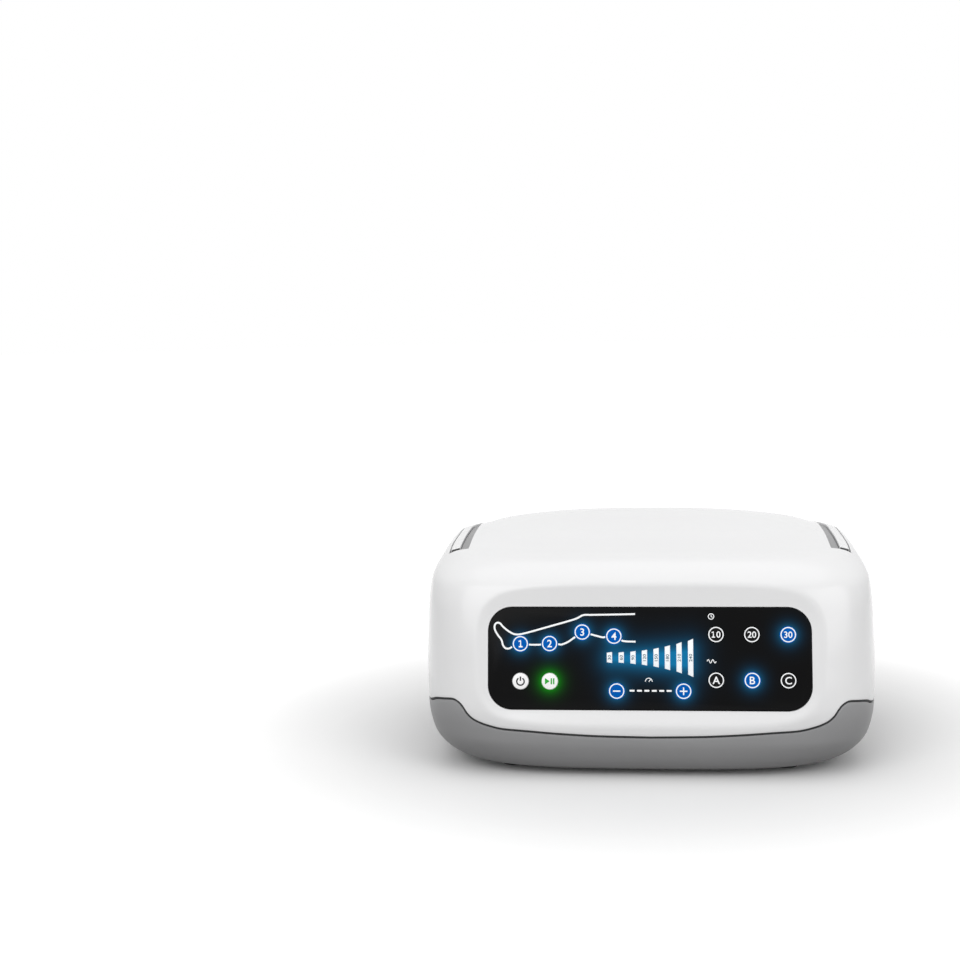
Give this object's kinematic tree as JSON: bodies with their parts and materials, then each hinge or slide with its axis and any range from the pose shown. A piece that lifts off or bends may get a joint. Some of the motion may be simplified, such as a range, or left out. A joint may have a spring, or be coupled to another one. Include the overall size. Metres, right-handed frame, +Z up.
{
  "type": "compression therapy pump",
  "caption": "Table-top air compression therapy pump with a tilted touch-key panel, two-tone rounded housing and a folding carry handle.",
  "frame": {"origin": "on the table under the middle of the housing, at the bottom of the feet", "axes": "+X across the width to the right as seen from the front, +Y from the control panel to the back, +Z up"},
  "size_m": [0.26, 0.1992, 0.1385],
  "materials": {
    "white_housing": "glossy white moulded plastic",
    "gray_base": "satin gray moulded plastic",
    "gray_strip": "satin light gray plastic",
    "black_panel": "glossy black panel",
    "black_rubber": "matt black rubber",
    "key_blue": "back-lit blue key",
    "key_black": "black key",
    "key_white": "white key",
    "light_guide": "lit clear light guide",
    "key_mat": "gray silicone mat",
    "board_green": "green circuit board",
    "black_plastic": "satin black plastic",
    "steel": "zinc-plated steel",
    "aluminium": "die-cast aluminium",
    "brass": "wound coil with brass body",
    "clear_hose": "translucent soft hose"
  },
  "bodies": {
    "housing": {"top_cover": "white_housing", "base_shell": "gray_base", "housing_seal": "black_rubber", "handle_tray": "gray_strip", "handle_pin_left": "steel", "handle_pin_right": "steel", "foot_front_left": "black_rubber", "foot_front_right": "black_rubber", "foot_rear_left": "black_rubber", "foot_rear_right": "black_rubber", "case_screw_front_left": "steel", "case_screw_front_right": "steel", "case_screw_rear_left": "steel", "case_screw_rear_right": "steel", "control_panel": "black_panel", "pressure_light_guide": "light_guide", "key_mat": "key_mat", "display_board": "board_green", "ir_receiver": "black_plastic", "air_outlet_left": "black_plastic", "air_outlet_right": "black_plastic", "mains_inlet": "black_plastic", "compressor_bracket": "steel", "motor_can": "steel", "compressor_body": "aluminium", "pump_head_front": "aluminium", "pump_head_rear": "aluminium", "rubber_isolator_1": "black_rubber", "rubber_isolator_2": "black_rubber", "rubber_isolator_3": "black_rubber", "rubber_isolator_4": "black_rubber", "valve_manifold": "black_plastic", "solenoid_valve_1": "brass", "solenoid_valve_2": "brass", "solenoid_valve_3": "brass", "solenoid_valve_4": "brass", "supply_hose_front": "clear_hose", "supply_hose_rear": "clear_hose", "outlet_hose_left": "clear_hose", "outlet_hose_right": "clear_hose", "main_board": "board_green", "pressure_sensor": "black_plastic", "power_supply": "aluminium"},
    "handle": {"carry_handle": "white_housing"},
    "rotor": {"motor_rotor": "steel"},
    "chamber_1": {"key_chamber_1": "key_blue"},
    "chamber_2": {"key_chamber_2": "key_blue"},
    "chamber_3": {"key_chamber_3": "key_blue"},
    "chamber_4": {"key_chamber_4": "key_blue"},
    "power": {"key_power": "key_white"},
    "play_pause": {"key_play_pause": "key_white"},
    "pressure_down": {"key_pressure_down": "key_blue"},
    "pressure_up": {"key_pressure_up": "key_blue"},
    "time_10": {"key_time_10": "key_black"},
    "time_20": {"key_time_20": "key_black"},
    "time_30": {"key_time_30": "key_blue"},
    "mode_a": {"key_mode_a": "key_black"},
    "mode_b": {"key_mode_b": "key_blue"},
    "mode_c": {"key_mode_c": "key_black"}
  },
  "joints": [
    {"name": "handle_lift", "type": "hinge", "parent": "housing", "child": "handle", "pos_m": [0, -0.0325, 0.1179], "axis": [1, 0, 0], "range_deg": [0, 90]},
    {"name": "rotor_spin", "type": "hinge", "parent": "housing", "child": "rotor", "pos_m": [0, 0.018, 0.0361], "axis": [1, 0, 0], "continuous": true},
    {"name": "press_chamber_1", "type": "slide", "parent": "housing", "child": "chamber_1", "axis": [0, 0.9763, -0.2164], "range_m": [0, 0.0006], "stiffness_N_per_m": 300},
    {"name": "press_chamber_2", "type": "slide", "parent": "housing", "child": "chamber_2", "axis": [0, 0.9763, -0.2164], "range_m": [0, 0.0006], "stiffness_N_per_m": 300},
    {"name": "press_chamber_3", "type": "slide", "parent": "housing", "child": "chamber_3", "axis": [0, 0.9763, -0.2164], "range_m": [0, 0.0006], "stiffness_N_per_m": 300},
    {"name": "press_chamber_4", "type": "slide", "parent": "housing", "child": "chamber_4", "axis": [0, 0.9763, -0.2164], "range_m": [0, 0.0006], "stiffness_N_per_m": 300},
    {"name": "press_power", "type": "slide", "parent": "housing", "child": "power", "axis": [0, 0.9763, -0.2164], "range_m": [0, 0.0006], "stiffness_N_per_m": 300},
    {"name": "press_play_pause", "type": "slide", "parent": "housing", "child": "play_pause", "axis": [0, 0.9763, -0.2164], "range_m": [0, 0.0006], "stiffness_N_per_m": 300},
    {"name": "press_pressure_down", "type": "slide", "parent": "housing", "child": "pressure_down", "axis": [0, 0.9763, -0.2164], "range_m": [0, 0.0006], "stiffness_N_per_m": 300},
    {"name": "press_pressure_up", "type": "slide", "parent": "housing", "child": "pressure_up", "axis": [0, 0.9763, -0.2164], "range_m": [0, 0.0006], "stiffness_N_per_m": 300},
    {"name": "press_time_10", "type": "slide", "parent": "housing", "child": "time_10", "axis": [0, 0.9763, -0.2164], "range_m": [0, 0.0006], "stiffness_N_per_m": 300},
    {"name": "press_time_20", "type": "slide", "parent": "housing", "child": "time_20", "axis": [0, 0.9763, -0.2164], "range_m": [0, 0.0006], "stiffness_N_per_m": 300},
    {"name": "press_time_30", "type": "slide", "parent": "housing", "child": "time_30", "axis": [0, 0.9763, -0.2164], "range_m": [0, 0.0006], "stiffness_N_per_m": 300},
    {"name": "press_mode_a", "type": "slide", "parent": "housing", "child": "mode_a", "axis": [0, 0.9763, -0.2164], "range_m": [0, 0.0006], "stiffness_N_per_m": 300},
    {"name": "press_mode_b", "type": "slide", "parent": "housing", "child": "mode_b", "axis": [0, 0.9763, -0.2164], "range_m": [0, 0.0006], "stiffness_N_per_m": 300},
    {"name": "press_mode_c", "type": "slide", "parent": "housing", "child": "mode_c", "axis": [0, 0.9763, -0.2164], "range_m": [0, 0.0006], "stiffness_N_per_m": 300}
  ]
}
